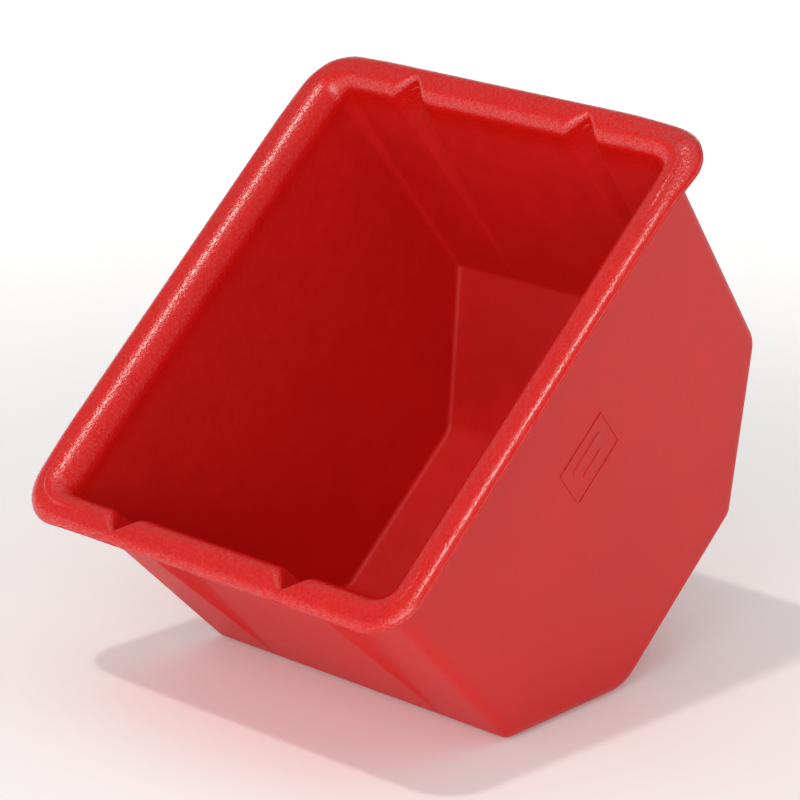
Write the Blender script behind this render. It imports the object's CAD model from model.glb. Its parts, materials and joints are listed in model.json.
"""The looks of the trough feeder: one rotationally moulded tub in satin red polyethylene."""
import json
import math

import bpy
from mathutils import Matrix, Vector


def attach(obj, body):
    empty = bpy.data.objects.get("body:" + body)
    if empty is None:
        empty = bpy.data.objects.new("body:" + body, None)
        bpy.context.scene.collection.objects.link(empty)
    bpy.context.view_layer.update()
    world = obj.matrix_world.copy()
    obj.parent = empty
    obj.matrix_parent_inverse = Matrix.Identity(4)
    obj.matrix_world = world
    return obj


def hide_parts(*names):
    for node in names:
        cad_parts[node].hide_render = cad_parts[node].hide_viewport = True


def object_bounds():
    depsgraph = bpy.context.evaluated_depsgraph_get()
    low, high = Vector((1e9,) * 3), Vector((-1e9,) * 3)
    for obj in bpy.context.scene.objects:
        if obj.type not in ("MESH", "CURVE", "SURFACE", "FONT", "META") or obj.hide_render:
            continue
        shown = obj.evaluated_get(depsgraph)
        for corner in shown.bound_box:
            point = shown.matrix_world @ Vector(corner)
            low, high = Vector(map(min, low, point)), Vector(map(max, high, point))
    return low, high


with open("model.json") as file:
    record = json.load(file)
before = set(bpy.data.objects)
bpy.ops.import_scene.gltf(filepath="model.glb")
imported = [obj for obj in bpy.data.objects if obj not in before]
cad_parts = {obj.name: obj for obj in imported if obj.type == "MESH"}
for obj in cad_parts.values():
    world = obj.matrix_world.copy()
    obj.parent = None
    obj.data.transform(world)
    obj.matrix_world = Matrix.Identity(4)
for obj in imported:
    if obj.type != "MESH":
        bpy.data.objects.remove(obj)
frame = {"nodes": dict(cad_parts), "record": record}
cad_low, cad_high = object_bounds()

MM = 0.001

# The moulding is drawn in the tub's own frame, in millimetres: X across the width, Y along
# the length, Z along the normal of the opening, with the top of the rim at Z = 0. In tables
# by end, 1 is the back and -1 the front.

# rim flange
FLANGE_HALF_WIDTH = 164.0
FLANGE_HALF_LENGTH = 190.0
FLANGE_CORNER = 32.0
FLANGE_THICK = 5.0
# its outer edge: a rounded shoulder, then a thin ridge of trim, which is a list of distances
# in from the edge and heights
SHOULDER_WIDE = 7.5
SHOULDER_HIGH = 3.7
TRIM_RIDGE = 0.5
TRIM_SECTION = [(0.0, -4.0), (-TRIM_RIDGE, -4.25), (-TRIM_RIDGE, -4.65), (0.15, -FLANGE_THICK)]
# the least room left between a notch and the outer edge
LEAST_LAND = 0.4
# the rounding of the mouth on the sides, at each end and where a channel notches it, and how
# much deeper a channel is there than in the wall
SIDE_MOUTH_ROUND = 18.0
END_MOUTH_ROUNDS = {1: 11.0, -1: 11.5}
NOTCH_ROUND = 5.5
NOTCH_FLARE = 1.25
# the hollow rounding between the rim's underside and the outer walls
NECK_ROUND = 5.5
# how far each corner of the rim has sagged in cooling, by the signs of X and Y, and between
# which places across and along the rim the sag grows
CORNER_SAG = {(-1, 1): 2.5, (1, 1): 6.5, (-1, -1): 3.0, (1, -1): 0.8}
SAG_WIDE = (95.0, 164.0)
SAG_LONG = (120.0, 190.0)

# walls, slopes and floor, by their outer faces; a draft is how far a wall leans in for each
# millimetre of depth
HALF_WIDTH = 141.0
HALF_LENGTH = 171.0
SIDE_DRAFT = 0.0615
END_DRAFT = 0.0700
WALL_DEPTH = 187.2
TUB_DEPTH = 267.2
FLOOR_HALF_LENGTH = 69.4
WALL_THICK = 4.5
# radii of the upright corners, which shrink with depth on the inside
OUTER_CORNER = 8.5
INNER_CORNER_TOP = 11.5
INNER_CORNER_LOW = 3.0
INNER_CORNER_FADE = 60.0
# radii of the bends across the tub at each end: wall to slope, then slope to floor
OUTER_BENDS = {1: (20.0, 9.0), -1: (12.0, 34.0)}
INNER_BENDS = {1: (5.0, 16.0), -1: (5.0, 16.0)}
LEAST_BEND = 0.5

# V-shaped channels in the end walls: half width at the root, then the roundings of the
# crest and of the root, all at rim level
CHANNEL_X = 72.3
CHANNEL_END = 182.0
OUTSIDE_CHANNEL = (13.6, 2.0, 6.0)
INSIDE_CHANNEL = (12.6, 1.0, 3.0)
# lines of mesh along a channel, by their distance from its middle at rim level, and the
# least share of that distance that they draw in to
OUTSIDE_LINES = (0.0, 0.8, 1.6, 2.6, 4.0, 6.0, 7.8, 9.4, 11.0, 12.6, 14.2, 15.8, 17.6, 19.8, 25.0)
INSIDE_LINES = (0.0, 0.5, 1.0, 1.8, 3.2, 5.0, 7.0, 8.8, 10.2, 11.4, 12.6, 13.8, 15.2, 17.5, 22.0)
LEAST_SPREAD = 0.10
# how far the channels inside stand to the left of the ribs outside, and the place across the
# tub where that shift ends and the width over which it fades
CHANNEL_DRIFT = 4.0
DRIFT_END = 125.0
DRIFT_FADE = 35.0

# moulded label on the right side wall: a raised outline, whose section is a list of distances
# in from its edge and heights above the wall
LABEL_LONG = 51.0
LABEL_HIGH = 32.0
LABEL_Y = 1.5
LABEL_Z = -99.5
LABEL_CORNER = 2.0
LABEL_LINE = 1.3
LABEL_RAISE = 0.5
LABEL_SECTION = (
    (0.0, -0.2),
    (0.15, 0.45),
    (0.45, LABEL_RAISE),
    (0.85, LABEL_RAISE),
    (1.15, 0.45),
    (LABEL_LINE, -0.2),
)
# the label's bars, each a level, a length and a height, and the shells of every bar, each
# a distance in from its edge and a share of its rise
LABEL_BARS = ((5.0, 33.0, 4.4), (-5.0, 22.0, 3.0))
BAR_SHELLS = ((0.0, -0.2), (0.0, 0.35), (0.25, 0.75), (0.7, 1.0))

# mesh density: steps round the rings
SIDE_STEPS = 12
CORNER_STEPS = 10
MIDDLE_STEPS = 5
OUTBOARD_STEPS = 3
# steps from ring to ring, and the least and the most height between rings
ARC_STEPS = 10
NECK_STEPS = 5
MOUTH_STEPS = 18
LEAST_LEVEL = 0.12
LEVEL_STEP = 13.0
# the lowest ring of a wall above the floor, and its highest below the mouth's rounding
FLOOR_GAP = 0.04
MOUTH_GAP = 2.0
# where rings stand between the wall and the mouth, on the rim's top, under the rim, and
# across a floor
MOUTH_SHARES = (0.35, 0.7)
LAND_SHARES = (0.12, 0.35, 0.65, 0.88)
UNDERSIDE_SHARES = (0.1, 0.5, 0.9)
FLOOR_SHARES = (0.985, 0.9, 0.7, 0.45, 0.2)
# the label's own
LABEL_CORNER_STEPS = 6
BAR_STEPS = 24

# colours of the plastic
RED = (0.635, 0.0070, 0.0042, 1.0)
DEEP_RED = (0.575, 0.0050, 0.0032, 1.0)
RUBBED_RED = (0.690, 0.0330, 0.0230, 1.0)
# scales of its patterns, where more is finer
CLOUD_SCALE = 9.0
WAVE_SCALE = 14.0
MOTTLE_SCALE = 60.0
RUB_SCALE = 140.0
PEBBLE_SCALE = 520.0
GRAIN_SCALE = 760.0
# heights from the top of the rim, in metres, between which the surface turns shiny
SHINE_LEVELS = (-0.030, -0.008)
# how sharply inside faces are told from outside ones
INWARD_SOFTNESS = 0.02
# between which values each pattern is stretched
SHADE_RANGE = (0.3, 0.7)
RUB_RANGE = (0.60, 0.78)
FLECK_RANGE = (0.44, 0.58)
RUB_SHARE = 0.25
# roughness of the outer walls, and what the rim, the inside, the mottle and the rubs add to it
WALL_ROUGHNESS = 0.43
RIM_SMOOTHER = 0.24
INSIDE_ROUGHER = 0.10
MOTTLE_ROUGHER = 0.04
RUB_ROUGHER = 0.04
# relief of the grain on the walls, and what the rim adds to it
WALL_RELIEF = 0.50
RIM_RELIEF = 0.9
GRAIN_BUMP = {"Strength": 0.85, "Distance": 0.00034}
WAVE_BUMP = {"Strength": 0.5, "Distance": 0.0012}
# what is the same all over the plastic
PLASTIC_CONSTANTS = {"Coat Roughness": 0.26, "IOR": 1.5, "Specular IOR Level": 0.42}

# studio paper: its two greys, the glow that fills the shadows, and the distances in metres
# between which the glow grows from dim to full
DIM_PAPER = (0.95, 0.95, 0.95, 1.0)
BRIGHT_PAPER = (0.97, 0.97, 0.97, 1.0)
PAPER_PATCHES = 3.0
PAPER_ROUGHNESS = 0.9
PAPER_GLOW = 0.34
DIM_GLOW = (0.22, 0.22, 0.22, 1.0)
FULL_GLOW = (1.0, 1.0, 1.0, 1.0)
GLOW_REACH = (0.35, 1.3)
# its sheet, in metres: half its side, how far from the middle it stays flat, how fast it
# curves up beyond that, and how far it lies below the object
SHEET_HALF = 14.0
SHEET_STEPS = 24
SHEET_FLAT = 9.0
SHEET_CURVE = 0.12
SHEET_BELOW = 0.0005

# lights
WHITE = (1.0, 1.0, 1.0)
WARM_WHITE = (1.0, 0.95, 0.88)

# camera, in metres and degrees; the lens and the sensor are in millimetres
CAMERA_PLACE = (1.49877, -1.66304, 0.88726)
CAMERA_AZIMUTH = 42.18
CAMERA_ELEVATION = 17.48
CAMERA_ROLL = 1.154
CAMERA_LENS = 166.93
SENSOR = 36.0
CAMERA_CLIPS = (0.05, 100.0)


def face_line(slope_y, slope_z, y, z):
    """A face of the end profile as (normal y, normal z, distance from the origin)."""
    size = math.hypot(slope_y, slope_z)
    normal_y, normal_z = slope_y / size, slope_z / size
    return normal_y, normal_z, normal_y * y + normal_z * z


SLOPE_RISE = TUB_DEPTH - WALL_DEPTH
SLOPE_TOP_Y = HALF_LENGTH - END_DRAFT * WALL_DEPTH
SLOPE_RUN = SLOPE_TOP_Y - FLOOR_HALF_LENGTH
END_FACES = (
    face_line(1.0, -END_DRAFT, HALF_LENGTH, 0.0),
    face_line(SLOPE_RISE, -SLOPE_RUN, SLOPE_TOP_Y, -WALL_DEPTH),
    face_line(0.0, -1.0, 0.0, -TUB_DEPTH),
)
LEAN = math.atan2(SLOPE_RISE, SLOPE_RUN)
DRAFT_TURN = math.atan(END_DRAFT)


def bend_centre(first, second, inset):
    """Where two faces of the end profile meet once both are moved in by inset."""
    y1, z1, d1 = first
    y2, z2, d2 = second
    d1, d2 = d1 - inset, d2 - inset
    det = y1 * z2 - y2 * z1
    return (d1 * z2 - d2 * z1) / det, (y1 * d2 - y2 * d1) / det


def end_reach(z, inset, bends):
    """Half length of the tub at a height, with its faces moved in by inset."""
    for upper, lower, bend in zip(END_FACES, END_FACES[1:], bends):
        centre_y, centre_z = bend_centre(upper, lower, inset + bend)
        if z >= centre_z + bend * upper[1]:
            return (upper[2] - inset - upper[1] * z) / upper[0]
        if z >= centre_z + bend * lower[1]:
            return centre_y + math.sqrt(max(bend ** 2 - (z - centre_z) ** 2, 0.0))
    return centre_y


def side_reach(z, inset):
    """Half width of the tub at a height, with its side walls moved in by inset."""
    return HALF_WIDTH + SIDE_DRAFT * z - inset * math.hypot(1.0, SIDE_DRAFT)


def profile_levels(inset, end_bends, corner, top):
    """Heights for the rings of a wall from the top down to the floor, close at every bend."""
    floor_z = -TUB_DEPTH + inset
    levels = {top}
    for bends in end_bends.values():
        for upper, lower, bend in zip(END_FACES, END_FACES[1:], bends):
            centre_z = bend_centre(upper, lower, inset + bend)[1]
            start, end = math.asin(-upper[1]), math.asin(-lower[1])
            for step in range(ARC_STEPS + 1):
                turn = start + (end - start) * step / ARC_STEPS
                levels.add(centre_z - bend * math.sin(turn))
    for step in range(1, ARC_STEPS + 1):
        turn = math.pi / 2 * step / ARC_STEPS
        levels.add(floor_z + corner * (1.0 - math.cos(turn)))
    spaced = []
    for level in sorted(level for level in levels if level > floor_z + FLOOR_GAP):
        if spaced and level - spaced[-1] < LEAST_LEVEL:
            continue
        if spaced:
            low = spaced[-1]
            parts = max(1, math.ceil((level - low) / LEVEL_STEP))
            spaced += [low + (level - low) * part / parts for part in range(1, parts)]
        spaced.append(level)
    return spaced[::-1]


def taper(z):
    """How much of a channel is left at a height: one at the rim, nothing at its lower end."""
    return max(0.0, 1.0 + z / CHANNEL_END)


def push(x, z, channel):
    """How far a channel moves the end wall outwards at a place across the width."""
    reach, crest, root = channel
    scale = taper(z)
    if scale <= 0.0:
        return 0.0
    away = abs(abs(x) - CHANNEL_X) / scale
    rise = reach - math.sqrt(away ** 2 + crest ** 2)
    if rise <= -root:
        return 0.0
    if rise >= root:
        return rise * scale
    return (rise + root) ** 2 / (4.0 * root) * scale


def across(z, tangent_x, blend):
    """Places across the end wall from its outer corner to its middle, on the channel's lines."""
    spread = max(taper(z), LEAST_SPREAD)
    mixed = [o + (i - o) * blend for o, i in zip(OUTSIDE_LINES, INSIDE_LINES)]
    offsets = [line * spread for line in mixed]
    inner_edge, outer_edge = CHANNEL_X - offsets[-1], CHANNEL_X + offsets[-1]
    places = []
    for step in range(1, OUTBOARD_STEPS):
        places.append(tangent_x + (outer_edge - tangent_x) * step / OUTBOARD_STEPS)
    places += [CHANNEL_X + offset for offset in reversed(offsets)]
    places += [CHANNEL_X - offset for offset in offsets[1:]]
    for step in range(1, MIDDLE_STEPS + 1):
        places.append(inner_edge * (1.0 - step / MIDDLE_STEPS))
    return places


def corner_turns(widest):
    """Directions round a corner, from the side wall's to the end wall's."""
    return [widest * (1.0 - step / CORNER_STEPS) for step in range(CORNER_STEPS + 1)]


def quarter_ring(half_width, corner, widest, reach, z, blend, bulge):
    """A quarter of a ring from the middle of the side to the middle of the end.

    reach gives the half length once the outline is moved in. bulge gives how far the end wall
    is pushed out at a place across it.
    """
    points = []
    for turn in corner_turns(widest):
        x = half_width - corner * (1.0 - math.sin(turn))
        points.append((x, reach(corner * (1.0 - math.cos(turn))), z))
    side_x, side_y, _ = points[0]
    points = [(side_x, side_y * step / SIDE_STEPS, z) for step in range(SIDE_STEPS)] + points
    end_y = reach(0.0)
    return points + [(x, end_y + bulge(x), z) for x in across(z, half_width - corner, blend)]


def whole_ring(back, front):
    """A closed ring from a quarter of its back half and a quarter of its front half."""
    ring = back + [(-x, y, z) for x, y, z in reversed(back[:-1])]
    ring += [(-x, -y, z) for x, y, z in front[1:]]
    return ring + [(x, -y, z) for x, y, z in reversed(front[1:-1])]


def wall_ring(z, inset, end_bends, corner, channel, blend):
    """A level ring on the outer or the inner face of the tub."""
    half_width = side_reach(z, inset)
    above_floor = z + TUB_DEPTH - inset
    widest = math.pi / 2
    if above_floor < corner:
        widest = math.acos(1.0 - above_floor / corner)

    def bulge(x):
        return push(x, z, channel)

    quarters = []
    for end in (1, -1):

        def reach(move, bends=end_bends[end]):
            return end_reach(z, inset + move, [max(bend - move, LEAST_BEND) for bend in bends])

        quarters.append(quarter_ring(half_width, corner, widest, reach, z, blend, bulge))
    return whole_ring(*quarters)


def inner_corner(z):
    """Radius of the upright inside corners, which is larger near the mouth."""
    return INNER_CORNER_LOW + (INNER_CORNER_TOP - INNER_CORNER_LOW) * math.exp(z / INNER_CORNER_FADE)


def outward_turns(count):
    """The direction that each point of a quarter ring faces, as an angle from the end wall's."""
    bow = corner_turns(math.pi / 2)
    return [math.pi / 2] * SIDE_STEPS + bow + [0.0] * (count - SIDE_STEPS - len(bow))


def shoulder_drop(inset):
    """How far the rounded outer edge of the rim has fallen at a distance in from the edge."""
    share = min(max(1.0 - inset / SHOULDER_WIDE, 0.0), 1.0)
    return SHOULDER_HIGH * (1.0 - math.sqrt(1.0 - share ** 2))


def mouth_quarter(end, lift):
    """A quarter of a ring on the mouth's rounding, which is larger on the sides than at the ends.

    A channel cuts the rounding, and may run out over the rim's outer shoulder.
    """
    end_size = END_MOUTH_ROUNDS[end]
    half_width = side_reach(-SIDE_MOUTH_ROUND, WALL_THICK)
    half_length = end_reach(-end_size, WALL_THICK, INNER_BENDS[end])
    deepest = push(CHANNEL_X, 0.0, INSIDE_CHANNEL) * NOTCH_FLARE
    out, up = math.cos(DRAFT_TURN) - math.cos(lift), math.sin(lift) - 1.0

    def reach(move):
        return half_length - move

    def bulge(x):
        return push(x, 0.0, INSIDE_CHANNEL) * NOTCH_FLARE

    start = quarter_ring(half_width, inner_corner(-end_size), math.pi / 2, reach, 0.0, 1.0, bulge)
    quarter = []
    for (x, y, _), turn in zip(start, outward_turns(len(start))):
        size = end_size + (SIDE_MOUTH_ROUND - end_size) * math.sin(turn) ** 2
        if turn == 0.0:
            size += (NOTCH_ROUND - end_size) * bulge(x) / deepest
        y += size * out * math.cos(turn)
        z = min(size * up, -shoulder_drop(FLANGE_HALF_LENGTH - y))
        quarter.append((x + size * out * math.sin(turn), y, z))
    return quarter


def mouth_rings():
    """Rings round the mouth, from the inner wall over to the top of the rim."""
    rings = []
    for step in range(MOUTH_STEPS + 1):
        lift = DRAFT_TURN + (math.pi / 2 - DRAFT_TURN) * step / MOUTH_STEPS
        rings.append(whole_ring(mouth_quarter(1, lift), mouth_quarter(-1, lift)))
    return rings


def between(first, second, share):
    """A ring part of the way from one ring to another."""
    return [tuple(a + (b - a) * share for a, b in zip(p, q)) for p, q in zip(first, second)]


def shoulder_quarter(end, inset, level):
    """A quarter of a ring on the rim's outer edge, which starts further out beside a notch."""

    def reach(move):
        return FLANGE_HALF_LENGTH - inset - move

    def bulge(x):
        return 0.0

    half_width, corner = FLANGE_HALF_WIDTH - inset, FLANGE_CORNER - inset
    ring = quarter_ring(half_width, corner, math.pi / 2, reach, level, 1.0, bulge)
    mouth = mouth_quarter(end, math.pi / 2)
    quarter = []
    for (x, y, z), (_, mouth_y, _), turn in zip(ring, mouth, outward_turns(len(ring))):
        room = FLANGE_HALF_LENGTH - mouth_y - LEAST_LAND
        if turn == 0.0 and inset > 0.0 and room < SHOULDER_WIDE:
            moved = inset * room / SHOULDER_WIDE
            y, z = FLANGE_HALF_LENGTH - moved, -shoulder_drop(moved)
        quarter.append((x, y, z))
    return quarter


def shoulder_rings():
    """Rings over the rounded outer edge of the rim and its trim, down to its underside."""
    section = []
    for step in range(ARC_STEPS + 1):
        inset = SHOULDER_WIDE * (1.0 - math.sin(math.pi / 2 * step / ARC_STEPS))
        section.append((inset, -shoulder_drop(inset)))
    rings = []
    for inset, level in section + TRIM_SECTION:
        back, front = shoulder_quarter(1, inset, level), shoulder_quarter(-1, inset, level)
        rings.append(whole_ring(back, front))
    return rings


def neck_rings():
    """Rings from the underside of the rim round its hollow rounding to the outer wall."""
    rings = []
    end_z = -FLANGE_THICK - NECK_ROUND
    half_width, half_length = side_reach(end_z, 0.0), end_reach(end_z, 0.0, OUTER_BENDS[1])
    for step in range(NECK_STEPS):
        turn = math.pi / 2 * step / NECK_STEPS
        grown = NECK_ROUND * (1.0 - math.sin(turn))
        level = -FLANGE_THICK - NECK_ROUND * (1.0 - math.cos(turn))

        def reach(move, grown=grown):
            return half_length + grown - move

        def bulge(x, level=level):
            return push(x, level, OUTSIDE_CHANNEL)

        width, corner = half_width + grown, OUTER_CORNER + grown
        quarter = quarter_ring(width, corner, math.pi / 2, reach, level, 0.0, bulge)
        rings.append(whole_ring(quarter, quarter))
    return rings


def sag(point):
    """A point of the rim, lowered near the corners, most at its outer edge."""
    x, y, z = point
    overhang = max((abs(x) - HALF_WIDTH) / (FLANGE_HALF_WIDTH - HALF_WIDTH),
                   (abs(y) - HALF_LENGTH) / (FLANGE_HALF_LENGTH - HALF_LENGTH))
    near = 1.0
    for place, (start, end) in ((abs(x), SAG_WIDE), (abs(y), SAG_LONG)):
        share = min(max((place - start) / (end - start), 0.0), 1.0)
        near *= share * share * (3.0 - 2.0 * share)
    depth = CORNER_SAG[(1 if x > 0 else -1, 1 if y > 0 else -1)]
    return x, y, z - depth * near * min(max(overhang, 0.0), 1.0)


def drift(point):
    """A point of the inside or the rim, moved with the channels inside, to the left."""
    x, y, z = point
    share = min(max((DRIFT_END - abs(x)) / DRIFT_FADE, 0.0), 1.0)
    return x - CHANNEL_DRIFT * share * taper(z), y, z


def moulding_rings():
    """The rings of the moulding, from the inner floor's edge over the rim to the outer floor's."""
    inner = []
    for z in profile_levels(WALL_THICK, INNER_BENDS, INNER_CORNER_LOW, -SIDE_MOUTH_ROUND - MOUTH_GAP):
        inner.append(wall_ring(z, WALL_THICK, INNER_BENDS, inner_corner(z), INSIDE_CHANNEL, 1.0))
    outer = []
    for z in profile_levels(0.0, OUTER_BENDS, OUTER_CORNER, -FLANGE_THICK - NECK_ROUND):
        outer.append(wall_ring(z, 0.0, OUTER_BENDS, OUTER_CORNER, OUTSIDE_CHANNEL, 0.0))
    mouth = mouth_rings()
    shoulder = shoulder_rings()
    neck = neck_rings()
    above = [between(inner[0], mouth[0], share) for share in MOUTH_SHARES]
    top = [between(mouth[-1], shoulder[0], share) for share in LAND_SHARES]
    rim = [[sag(point) for point in ring] for ring in top + shoulder]
    drifted = [[drift(point) for point in ring] for ring in inner[::-1] + above + mouth + rim]
    under = [between(drifted[-1], neck[0], share) for share in UNDERSIDE_SHARES]
    return drifted + under + neck + outer


def floor_rings(ring, z):
    """Rings that shrink across a flat floor, starting beside the given ring."""
    return [[(x * share, y * share, z) for x, y, _ in ring] for share in FLOOR_SHARES]


def tub_to_row():
    """The matrix that stands the tub, in millimetres, on its front slope in the part's frame."""
    turn = Matrix.Rotation(LEAN, 4, "X")
    floor_middle = turn @ Vector((0.0, 0.0, -TUB_DEPTH * MM))
    mounts = {mount["name"]: mount for mount in frame["record"]["mounts"]}
    place = Vector(mounts["floor_face"]["pos_m"])
    return Matrix.Translation(place - floor_middle) @ turn @ Matrix.Scale(MM, 4)


def smooth_object(name, points, faces):
    """A smooth mesh object from points in metres, in the part's frame."""
    mesh = bpy.data.meshes.new(name)
    mesh.from_pydata(points, [], faces)
    mesh.validate()
    mesh.polygons.foreach_set("use_smooth", [True] * len(mesh.polygons))
    made = bpy.data.objects.new(name, mesh)
    bpy.context.scene.collection.objects.link(made)
    return made


def tub_piece(name, points, faces):
    """A piece of the object, from points in the tub's frame."""
    place = tub_to_row()
    return smooth_object(name, [place @ Vector(point) for point in points], faces)


def moulding():
    """The tub and its rim as one closed surface that faces outwards."""
    rings = moulding_rings()
    inner_floor = floor_rings(rings[0], -TUB_DEPTH + WALL_THICK)
    outer_floor = floor_rings(rings[-1], -TUB_DEPTH)
    rings = inner_floor[::-1] + rings + outer_floor
    count = len(rings[0])
    points = [point for ring in rings for point in ring]
    faces = []
    for level in range(len(rings) - 1):
        low, high = level * count, (level + 1) * count
        for index in range(count):
            after = (index + 1) % count
            faces.append((low + index, high + index, high + after, low + after))
    inner_middle, outer_middle = len(points), len(points) + 1
    points.append((0.0, 0.0, -TUB_DEPTH + WALL_THICK))
    points.append((0.0, 0.0, -TUB_DEPTH))
    last = (len(rings) - 1) * count
    for index in range(count):
        after = (index + 1) % count
        faces.append((inner_middle, index, after))
        faces.append((outer_middle, last + after, last + index))
    return tub_piece("tub_moulding", points, faces)


def label_point(along, up, out):
    """A point on the right side wall, in the tub's frame, from the middle of the label."""
    size = math.hypot(1.0, SIDE_DRAFT)
    base = Vector((HALF_WIDTH + SIDE_DRAFT * LABEL_Z, LABEL_Y, LABEL_Z))
    rise = Vector((SIDE_DRAFT, 0.0, 1.0)) / size
    normal = Vector((1.0, 0.0, -SIDE_DRAFT)) / size
    return base + Vector((0.0, along, 0.0)) + rise * up + normal * out


def label_band():
    """The label's raised outline, a closed band with rounded corners, as points and faces."""
    points, faces = [], []
    turns = []
    for quadrant in range(4):
        for step in range(LABEL_CORNER_STEPS + 1):
            turns.append((quadrant, math.pi / 2 * (quadrant + step / LABEL_CORNER_STEPS)))
    for quadrant, turn in turns:
        centre_along = (LABEL_LONG / 2 - LABEL_CORNER) * (1 if quadrant in (0, 3) else -1)
        centre_up = (LABEL_HIGH / 2 - LABEL_CORNER) * (1 if quadrant in (0, 1) else -1)
        for inset, out in LABEL_SECTION:
            size = LABEL_CORNER - inset
            along, up = centre_along + size * math.cos(turn), centre_up + size * math.sin(turn)
            points.append(label_point(along, up, out))
    width, total = len(LABEL_SECTION), len(turns)
    for index in range(total):
        here, there = index * width, (index + 1) % total * width
        for step in range(width):
            beside = (step + 1) % width
            faces.append((here + step, there + step, there + beside, here + beside))
    return points, faces


def low_bar(level, length, height):
    """A low pillow-shaped bar of the label, as points and faces."""
    points, faces = [], []
    for inset, share in BAR_SHELLS:
        round_end = height / 2 - inset
        flat = length / 2 - inset - round_end
        for step in range(BAR_STEPS):
            turn = 2 * math.pi * step / BAR_STEPS
            shift = flat if math.cos(turn) >= 0 else -flat
            along, up = shift + round_end * math.cos(turn), level + round_end * math.sin(turn)
            points.append(label_point(along, up, LABEL_RAISE * share))
    for shell in range(len(BAR_SHELLS) - 1):
        low, high = shell * BAR_STEPS, (shell + 1) * BAR_STEPS
        for step in range(BAR_STEPS):
            after = (step + 1) % BAR_STEPS
            faces.append((low + step, low + after, high + after, high + step))
    top = (len(BAR_SHELLS) - 1) * BAR_STEPS
    faces.append(tuple(top + step for step in range(BAR_STEPS)))
    faces.append(tuple(range(BAR_STEPS))[::-1])
    return points, faces


def label():
    """The moulded label: a thin raised outline and two plain bars."""
    parts = [label_band()]
    parts += [low_bar(level, length, height) for level, length, height in LABEL_BARS]
    points, faces = [], []
    for part_points, part_faces in parts:
        start = len(points)
        points += part_points
        faces += [tuple(start + index for index in face) for face in part_faces]
    return tub_piece("label_outline", points, faces)


class Signal:
    """A shader socket that takes part in sums: an expression on signals adds its Math nodes."""

    def __init__(self, finish, socket):
        self.finish = finish
        self.socket = socket

    def maths(self, operation, first, second):
        """The result of a Math node on two values, of which one or both are signals."""
        return self.finish.add("ShaderNodeMath", {"operation": operation}, {0: first, 1: second})

    def __add__(self, other):
        return self.maths("ADD", self, other)

    def __radd__(self, other):
        return self.maths("ADD", other, self)

    def __sub__(self, other):
        return self.maths("SUBTRACT", self, other)

    def __rsub__(self, other):
        return self.maths("SUBTRACT", other, self)

    def __mul__(self, other):
        return self.maths("MULTIPLY", self, other)

    def __rmul__(self, other):
        return self.maths("MULTIPLY", other, self)


class Finish:
    """A material that is being made."""

    def __init__(self, name):
        self.material = bpy.data.materials.new(name)
        self.material.use_nodes = True
        self.tree = self.material.node_tree
        self.tree.nodes.clear()

    def add(self, kind, settings, sockets, output=0):
        """Adds a node, sets its settings first, then its sockets' values or links."""
        node = self.tree.nodes.new(kind)
        for setting, value in settings.items():
            setattr(node, setting, value)
        for key, value in sockets.items():
            if isinstance(value, Signal):
                self.tree.links.new(value.socket, node.inputs[key])
            else:
                node.inputs[key].default_value = value
        return Signal(self, node.outputs[output]) if node.outputs else None

    def vectors(self, operation, sockets, output):
        """The result of a Vector Math node."""
        return self.add("ShaderNodeVectorMath", {"operation": operation}, sockets, output)

    def noise(self, where, scale, detail=2.0, rough=0.5):
        """Soft random grey, from 0 to 1."""
        sockets = {"Vector": where, "Scale": scale, "Detail": detail, "Roughness": rough}
        return self.add("ShaderNodeTexNoise", {}, sockets)

    def span(self, value, low, high):
        """A value stretched from a range to 0 to 1, smoothly and with its ends held."""
        sockets = {"Value": value, "From Min": low, "From Max": high}
        return self.add("ShaderNodeMapRange", {"interpolation_type": "SMOOTHSTEP"}, sockets)

    def mix(self, share, first, second):
        """One colour turned into another by a share; the numbers are the Mix node's colour sockets."""
        return self.add("ShaderNodeMix", {"data_type": "RGBA"}, {0: share, 6: first, 7: second}, 2)

    def bump(self, relief, height, under=None):
        """A normal tilted by a height, on top of another bump's if one is given."""
        sockets = {**relief, "Height": height}
        if under:
            sockets["Normal"] = under
        return self.add("ShaderNodeBump", {}, sockets)

    def shade(self, sockets):
        """Ends the material with its surface shader, and returns it."""
        shader = self.add("ShaderNodeBsdfPrincipled", {}, sockets)
        self.add("ShaderNodeOutputMaterial", {}, {"Surface": shader})
        return self.material


def height_above_rim(finish, where):
    """Height of a place along the opening's normal, in metres, from the top of the rim."""
    normal = (0.0, -math.sin(LEAN), math.cos(LEAN))
    start = (tub_to_row() @ Vector((0.0, 0.0, 0.0))).dot(Vector(normal))
    return finish.vectors("DOT_PRODUCT", {0: where, 1: normal}, "Value") - start


def inward(finish, where):
    """One on the faces that look into the tub, nothing on those that look out."""
    middle = tub_to_row() @ Vector((0.0, 0.0, -TUB_DEPTH / 2))
    facing = finish.add("ShaderNodeNewGeometry", {}, {}, "True Normal")
    outward = finish.vectors("SUBTRACT", {0: where, 1: tuple(middle)}, "Vector")
    away = finish.vectors("DOT_PRODUCT", {0: facing, 1: outward}, "Value")
    return 1.0 - finish.span(away, -INWARD_SOFTNESS, INWARD_SOFTNESS)


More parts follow.
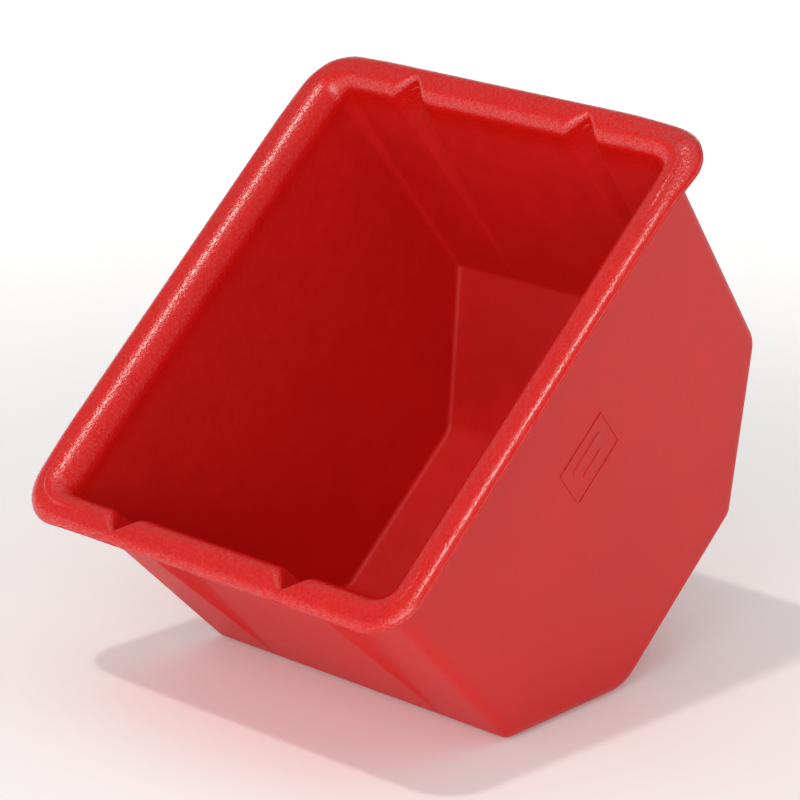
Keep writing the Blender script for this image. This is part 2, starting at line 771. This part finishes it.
def polyethylene():
    """Satin red polyethylene with the fine grain of a sand-blasted mould, shinier on the rim."""
    finish = Finish("moulded_polyethylene")
    where = finish.add("ShaderNodeTexCoord", {}, {}, "Object")
    cloud = finish.noise(where, CLOUD_SCALE, 3.0)
    mottle = finish.noise(where, MOTTLE_SCALE, 3.0, 0.6)
    grain = finish.noise(where, GRAIN_SCALE, 2.0, 0.65)
    pebble = finish.add("ShaderNodeTexVoronoi", {}, {"Vector": where, "Scale": PEBBLE_SCALE})
    rub = finish.span(finish.noise(where, RUB_SCALE, 5.0, 0.7), *RUB_RANGE)
    wave = finish.noise(where, WAVE_SCALE, 1.0)
    rim = finish.span(height_above_rim(finish, where), *SHINE_LEVELS)
    inside = inward(finish, where) * (1.0 - rim)

    colour = finish.mix(finish.span(cloud * 0.6 + mottle * 0.4, *SHADE_RANGE), DEEP_RED, RED)
    colour = finish.mix(rub * RUB_SHARE, colour, RUBBED_RED)
    roughness = WALL_ROUGHNESS - rim * RIM_SMOOTHER + inside * INSIDE_ROUGHER
    roughness = roughness + finish.span(mottle, *SHADE_RANGE) * MOTTLE_ROUGHER + rub * RUB_ROUGHER
    fleck = finish.span(grain * 0.7 + pebble * 0.3, *FLECK_RANGE) * rim
    relief = (grain * 0.55 + pebble * 0.45) * (WALL_RELIEF + rim * RIM_RELIEF)
    normal = finish.bump(GRAIN_BUMP, relief, finish.bump(WAVE_BUMP, wave))
    changing = {"Base Color": colour, "Roughness": roughness, "Coat Weight": fleck, "Normal": normal}
    return finish.shade({**changing, **PLASTIC_CONSTANTS})


def floor_paper():
    """Matt white studio paper."""
    finish = Finish("studio_paper")
    where = finish.add("ShaderNodeTexCoord", {}, {}, "Object")
    colour = finish.mix(finish.noise(where, PAPER_PATCHES), DIM_PAPER, BRIGHT_PAPER)
    away = finish.vectors("LENGTH", {0: where}, "Value")
    lit = finish.mix(finish.span(away, *GLOW_REACH), DIM_GLOW, FULL_GLOW)
    glow = {"Emission Color": lit, "Emission Strength": PAPER_GLOW}
    return finish.shade({"Base Color": colour, "Roughness": PAPER_ROUGHNESS, **glow})


def stage_floor():
    """A wide sheet of paper that curves up far from the object."""
    points, faces = [], []
    for row in range(SHEET_STEPS + 1):
        for column in range(SHEET_STEPS + 1):
            x = -SHEET_HALF + 2 * SHEET_HALF * column / SHEET_STEPS
            y = -SHEET_HALF + 2 * SHEET_HALF * row / SHEET_STEPS
            away = max(0.0, math.hypot(x, y) - SHEET_FLAT)
            points.append((x, y, away ** 2 * SHEET_CURVE - SHEET_BELOW))
    for row in range(SHEET_STEPS):
        for column in range(SHEET_STEPS):
            here = row * (SHEET_STEPS + 1) + column
            beyond = here + SHEET_STEPS + 1
            faces.append((here, here + 1, beyond + 1, beyond))
    floor = smooth_object("studio_floor", points, faces)
    floor.data.materials.append(floor_paper())


def soft_light(name, direction, spread, strength, colour):
    """A distant light from a direction, spread over an angle in degrees so that it is soft."""
    data = bpy.data.lights.new(name, "SUN")
    data.color = colour
    data.angle = math.radians(spread)
    data.energy = strength * math.pi
    lamp = bpy.data.objects.new(name, data)
    bpy.context.scene.collection.objects.link(lamp)
    away = Vector(direction).normalized()
    lamp.location = (cad_low + cad_high) / 2 + away
    lamp.rotation_mode = "QUATERNION"
    lamp.rotation_quaternion = away.to_track_quat("Z", "Y")


def softbox(name, place, side, strength):
    """A square lamp that faces the object; its power makes up for its distance."""
    middle = (cad_low + cad_high) / 2
    away = Vector(place) - middle
    data = bpy.data.lights.new(name, "AREA")
    data.size = side
    data.energy = strength * math.pi ** 2 * away.length_squared
    lamp = bpy.data.objects.new(name, data)
    bpy.context.scene.collection.objects.link(lamp)
    lamp.location = place
    lamp.rotation_mode = "QUATERNION"
    lamp.rotation_quaternion = away.to_track_quat("Z", "Y")
    lamp.visible_camera = False


def surroundings(strength):
    """Even white light from all round."""
    world = bpy.data.worlds.new("white_room")
    world.use_nodes = True
    back = world.node_tree.nodes["Background"]
    back.inputs["Color"].default_value = (*WHITE, 1.0)
    back.inputs["Strength"].default_value = strength
    bpy.context.scene.world = world


def camera():
    """The camera: long lens, level but for a slight roll."""
    turn, tip, roll = (math.radians(a) for a in (CAMERA_AZIMUTH, CAMERA_ELEVATION, CAMERA_ROLL))
    ahead = Vector((-math.sin(turn) * math.cos(tip), math.cos(turn) * math.cos(tip), -math.sin(tip)))
    level = Vector((math.cos(turn), math.sin(turn), 0.0))
    upright = level.cross(ahead)
    right = level * math.cos(roll) + upright * math.sin(roll)
    up = upright * math.cos(roll) - level * math.sin(roll)
    data = bpy.data.cameras.new("camera")
    data.lens = CAMERA_LENS
    data.sensor_width = SENSOR
    data.clip_start, data.clip_end = CAMERA_CLIPS
    seen = bpy.data.objects.new("camera", data)
    axes = Matrix((right, up, -ahead)).transposed().to_4x4()
    seen.matrix_world = Matrix.Translation(Vector(CAMERA_PLACE)) @ axes
    bpy.context.scene.collection.objects.link(seen)
    bpy.context.scene.camera = seen


def dress():
    """The two pieces, what they stand for and what they are made of."""
    plastic = polyethylene()
    tub = moulding()
    tub.data.materials.append(plastic)
    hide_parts(*[name for name in frame["nodes"] if name != "maker_plate"])
    mark = label()
    mark.data.materials.append(plastic)
    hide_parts("maker_plate")
    for piece in (tub, mark):
        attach(piece, "root")


dress()
stage_floor()
surroundings(0.32)
softbox("right_softbox", (1.27, -1.66, 0.80), 1.3, 0.24)
softbox("left_softbox", (0.45, -1.85, 1.05), 1.2, 0.185)
soft_light("top_light", (0.0, 0.0, 1.0), 60.0, 0.12, WHITE)
soft_light("sparkle_light", (-0.02, -0.39, 0.92), 3.0, 0.20, WARM_WHITE)
camera()
bpy.context.scene.view_settings.view_transform = "Standard"
